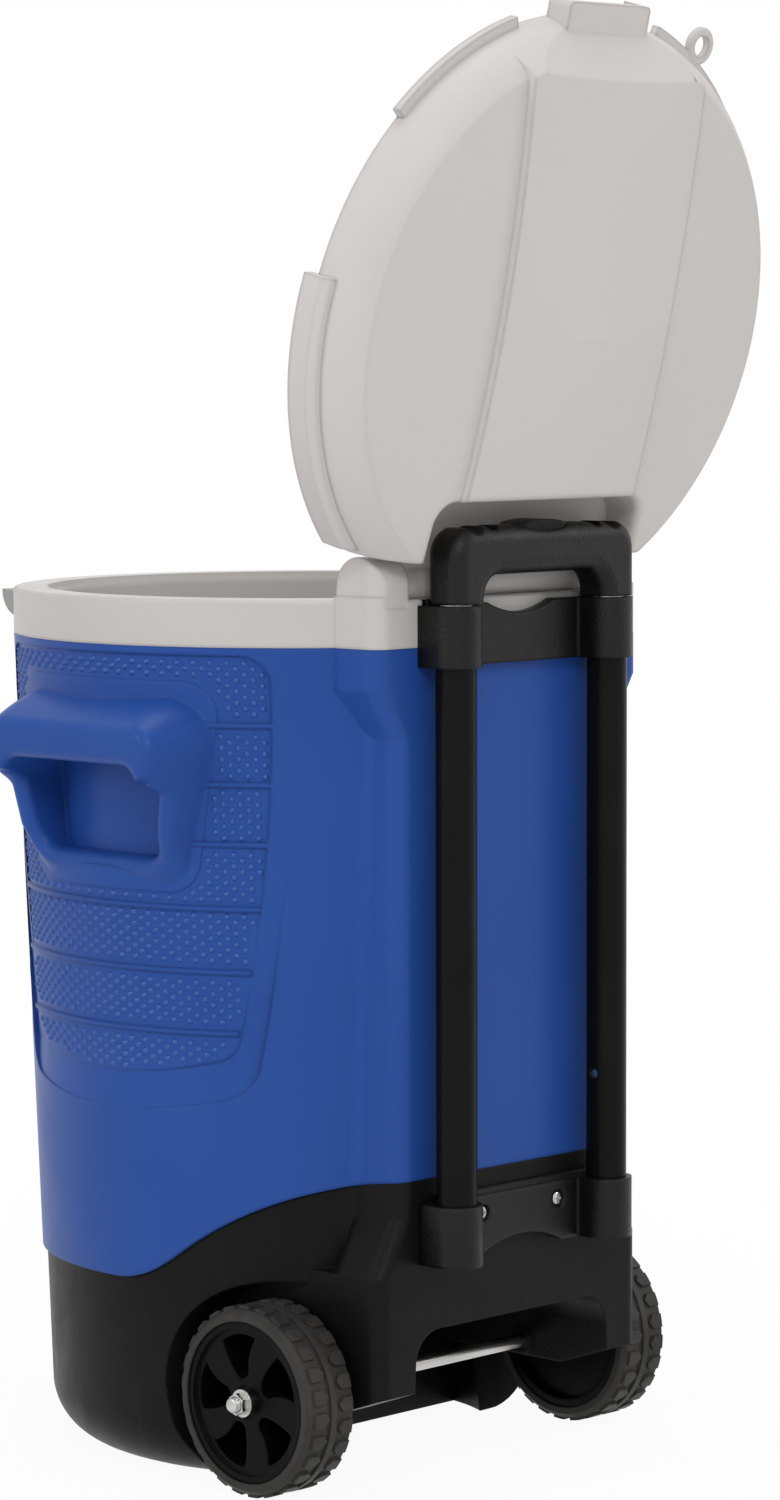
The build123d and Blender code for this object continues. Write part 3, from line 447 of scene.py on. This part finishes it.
# cross-recessed screws sunk in the lower bracket
crossScrew = {
    "x": 0.030, "z": 0.1475, "seatY": 0.1609, "headRadius": 0.0036, "edge": 0.0012, "dome": 0.0010,
    "slotHalf": 0.00052, "slotReach": 0.0021, "slotDepth": 0.0011, "across": 32,
}


def screwHeight(across, up):
    radius = min(1.0, math.hypot(across, up) / crossScrew["headRadius"])
    height = crossScrew["edge"] + crossScrew["dome"] * math.sqrt(max(0.0, 1.0 - radius ** 2))
    narrow, long = sorted((abs(across), abs(up)))
    if narrow < crossScrew["slotHalf"] and long < crossScrew["slotReach"]:
        height -= crossScrew["slotDepth"]
    return height


def addScrew(build, x):
    count = crossScrew["across"]
    rows = []
    for row in range(count + 1):
        line = []
        for column in range(count + 1):
            u, v = 2.0 * column / count - 1.0, 2.0 * row / count - 1.0
            across = u * math.sqrt(1.0 - v * v / 2.0) * crossScrew["headRadius"]  # square grid on a disc
            up = v * math.sqrt(1.0 - u * u / 2.0) * crossScrew["headRadius"]
            y = crossScrew["seatY"] + screwHeight(across, up)
            line.append(build.verts.new((x + across, y, crossScrew["z"] + up)))
        rows.append(line)
    for first, second in zip(rows, rows[1:]):
        for column in range(count):
            build.faces.new((first[column], first[column + 1], second[column + 1], second[column]))
    rim = rows[0] + [line[-1] for line in rows[1:]]
    rim += rows[-1][-2::-1] + [line[0] for line in rows[-2:0:-1]]
    foot = [build.verts.new((vert.co.x, crossScrew["seatY"], vert.co.z)) for vert in rim]
    skinRings(build, [rim, foot])
    build.faces.new(foot)


screwBuild = bmesh.new()
for x in (crossScrew["x"], -crossScrew["x"]):
    addScrew(screwBuild, x)
screwMesh = meshFrom(screwBuild, "cross_screws")
crossScrews = finishPiece("cross_screws", screwMesh, steel, "cooler")
crossScrews.data.shade_flat()
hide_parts("lower_bracket_screws")
print("bracket screws made")


# the foot's outer wall carried on towards each wheel, with its end cut round by the wheel well
footHeel = {
    "lowRadius": 0.1435, "seamRadius": 0.1475, "seamZ": 0.109, "round": 0.034, "lift": 0.0002,
    "frontY": 0.002, "rearY": 0.045, "topZ": 0.050, "innerRadius": 0.104,
    "wellRadius": 0.0605, "sunk": -0.0003, "proud": 0.00012, "emergeY": 0.011, "emergeZ": 0.0455,
    "arcSteps": 10, "sweepSteps": 12, "sharpAngle": 40.0,
}


def heelRadius(z):
    grow = footHeel["seamRadius"] - footHeel["lowRadius"]
    return footHeel["lowRadius"] + grow * z / footHeel["seamZ"]


def heelRear(z):
    reach = math.sqrt(footHeel["wellRadius"] ** 2 - (z - axleSpot["z"]) ** 2)
    return min(footHeel["rearY"], axleSpot["y"] - reach)


# closed outline of the heel as radius, height and how far it stands out of the foot
def heelOutline():
    bend, lift, topZ = footHeel["round"], footHeel["lift"], footHeel["topZ"]
    outer = heelRadius(bend)
    outline = [(footHeel["innerRadius"], topZ, 0.0), (footHeel["innerRadius"], lift, 0.0)]
    for step in range(footHeel["arcSteps"] + 1):
        turn = math.pi / 2.0 * step / footHeel["arcSteps"]
        radius = outer - bend + bend * math.sin(turn)
        outline.append((radius, max(lift, bend * (1.0 - math.cos(turn))), footHeel["proud"]))
    outline.append((heelRadius(footHeel["emergeZ"]), footHeel["emergeZ"], footHeel["proud"]))
    outline.append((heelRadius(topZ), topZ, footHeel["sunk"]))
    return outline


def addHeel(build, side):
    outline = heelOutline()
    rings = []
    for step in range(footHeel["sweepSteps"] + 1):
        share = step / footHeel["sweepSteps"]
        ring = []
        for radius, z, stand in outline:
            y = footHeel["frontY"] + share * (heelRear(z) - footHeel["frontY"])
            if y < footHeel["emergeY"]:
                stand = footHeel["sunk"]     # inside the foot at first, so no edge shows
            reach = radius + stand
            ring.append(build.verts.new((side * math.sqrt(reach ** 2 - y ** 2), y, z)))
        rings.append(ring)
    skinRings(build, rings)
    build.faces.new(rings[0])
    build.faces.new(rings[-1])


heelBuild = bmesh.new()
for side in (1, -1):
    addHeel(heelBuild, side)
heelMesh = meshFrom(heelBuild, "foot_heels")
footHeels = finishPiece("foot_heels", heelMesh, blackPlastic, "cooler")
footHeels.data.set_sharp_from_angle(angle=math.radians(footHeel["sharpAngle"]))
print("foot heels made")


# floor, light and camera

studio = {
    "floorColor": (0.92, 0.92, 0.92), "floorShade": 0.985, "floorCloud": 1.5,
    "floorRoughness": 0.9, "floorGloss": 0.1, "floorSize": 30.0,
    "floorVeil": 0.94, "fadeFrom": 0.30, "fadeTo": 1.10,
    "worldStrength": 0.50,
    "lamps": (     # name, place, size, power in watts
        ("key", (2.2, 2.6, 2.6), 1.6, 42.0),
        ("side", (3.2, -0.8, 1.6), 1.4, 18.0),
        ("rear", (-2.6, 2.4, 1.8), 1.4, 18.0),
        ("top", (0.0, 0.0, 3.4), 2.0, 26.0),
    ),
    "aim": (0.0, 0.0, 0.40),
}


# rays that look straight at the backdrop or see it mirrored
def looksAt(tree):
    light = addNode(tree, "ShaderNodeLightPath")
    seen = light.outputs["Is Camera Ray"]
    for kind in ("Is Glossy Ray", "Is Transmission Ray"):
        either = addNode(tree, "ShaderNodeMath", operation="MAXIMUM")
        tree.links.new(seen, either.inputs[0])
        tree.links.new(light.outputs[kind], either.inputs[1])
        seen = either.outputs["Value"]
    return seen


def buildWorld():
    world = bpy.data.worlds.new("studio_world")
    bpy.context.scene.world = world
    world.use_nodes = True
    tree = world.node_tree
    tree.nodes.clear()
    out = addNode(tree, "ShaderNodeOutputWorld")
    layers = []
    for strength in (studio["worldStrength"], 1.0):
        layer = addNode(tree, "ShaderNodeBackground")
        layer.inputs["Color"].default_value = (1.0, 1.0, 1.0, 1.0)
        layer.inputs["Strength"].default_value = strength
        layers.append(layer.outputs["Background"])
    mix = addNode(tree, "ShaderNodeMixShader")
    tree.links.new(looksAt(tree), mix.inputs["Fac"])
    tree.links.new(layers[0], mix.inputs[1])
    tree.links.new(layers[1], mix.inputs[2])
    tree.links.new(mix.outputs["Shader"], out.inputs["Surface"])


# a pale floor that fades to plain white away from the cooler and keeps its shadow near it
def buildFloor():
    size = studio["floorSize"]
    mesh = bpy.data.meshes.new("studio_floor")
    corners = [(-size, -size, 0.0), (size, -size, 0.0), (size, size, 0.0), (-size, size, 0.0)]
    mesh.from_pydata(corners, [], [(0, 1, 2, 3)])
    floor = bpy.data.objects.new("studio_floor", mesh)
    bpy.context.scene.collection.objects.link(floor)
    material, tree, shader = startMaterial("studio_floor_paint")
    tone = spread(tree, noiseField(tree, studio["floorCloud"]), 0.0, 1.0)
    pale = studio["floorColor"]
    shade = tuple(channel * studio["floorShade"] for channel in pale)
    tree.links.new(twoTone(tree, tone, pale, shade), shader.inputs["Base Color"])
    shader.inputs["Roughness"].default_value = studio["floorRoughness"]
    shader.inputs["Specular IOR Level"].default_value = studio["floorGloss"]
    glow = addNode(tree, "ShaderNodeEmission")
    glow.inputs["Color"].default_value = (1.0, 1.0, 1.0, 1.0)
    glow.inputs["Strength"].default_value = 1.0
    where = addNode(tree, "ShaderNodeTexCoord")
    away = addNode(tree, "ShaderNodeVectorMath", operation="LENGTH")
    tree.links.new(where.outputs["Object"], away.inputs[0])
    near, far = studio["fadeFrom"], studio["fadeTo"]
    fade = spread(tree, away.outputs["Value"], studio["floorVeil"], 1.0, near, far)
    veil = addNode(tree, "ShaderNodeMath", operation="MULTIPLY")
    tree.links.new(fade, veil.inputs[0])
    tree.links.new(looksAt(tree), veil.inputs[1])
    mix = addNode(tree, "ShaderNodeMixShader")
    tree.links.new(veil.outputs["Value"], mix.inputs["Fac"])
    tree.links.new(shader.outputs["BSDF"], mix.inputs[1])
    tree.links.new(glow.outputs["Emission"], mix.inputs[2])
    tree.links.new(mix.outputs["Shader"], tree.nodes["Material Output"].inputs["Surface"])
    mesh.materials.append(material)


def addLamp(name, spot, size, power):
    lamp = bpy.data.lights.new(name, "AREA")
    lamp.shape = "DISK"
    lamp.size = size
    lamp.energy = power
    holder = bpy.data.objects.new(name, lamp)
    holder.location = spot
    aim = Vector(studio["aim"]) - Vector(spot)
    holder.rotation_euler = aim.to_track_quat("-Z", "Y").to_euler()
    bpy.context.scene.collection.objects.link(holder)


# camera solved from the photograph: place in metres, angles in degrees, focal length in pixels
photoCamera = {
    "spot": (1.855, 1.866, 0.615), "heading": 45.85, "pitch": 4.99, "roll": -0.16,
    "focalPixels": 4708.0, "heightPixels": 1500.0, "sensor": 36.0, "nearClip": 0.05, "farClip": 200.0,
}


def buildCamera():
    heading, pitch, roll = (math.radians(photoCamera[key]) for key in ("heading", "pitch", "roll"))
    look = Vector((
        -math.sin(heading) * math.cos(pitch), -math.cos(heading) * math.cos(pitch), -math.sin(pitch),
    ))
    level = Vector((-math.cos(heading), math.sin(heading), 0.0))
    upright = level.cross(look)
    right = level * math.cos(roll) + upright * math.sin(roll)
    up = upright * math.cos(roll) - level * math.sin(roll)
    data = bpy.data.cameras.new("photo_camera")
    data.sensor_width = photoCamera["sensor"]
    data.lens = photoCamera["sensor"] * photoCamera["focalPixels"] / photoCamera["heightPixels"]
    data.clip_start = photoCamera["nearClip"]
    data.clip_end = photoCamera["farClip"]
    camera = bpy.data.objects.new("photo_camera", data)
    turn = Matrix((right, up, -look)).transposed().to_4x4()
    camera.matrix_world = Matrix.Translation(photoCamera["spot"]) @ turn
    bpy.context.scene.collection.objects.link(camera)
    bpy.context.scene.camera = camera


buildWorld()
buildFloor()
for lampRow in studio["lamps"]:
    addLamp(*lampRow)
buildCamera()
bpy.context.scene.view_settings.view_transform = "Standard"
print("studio and camera ready")
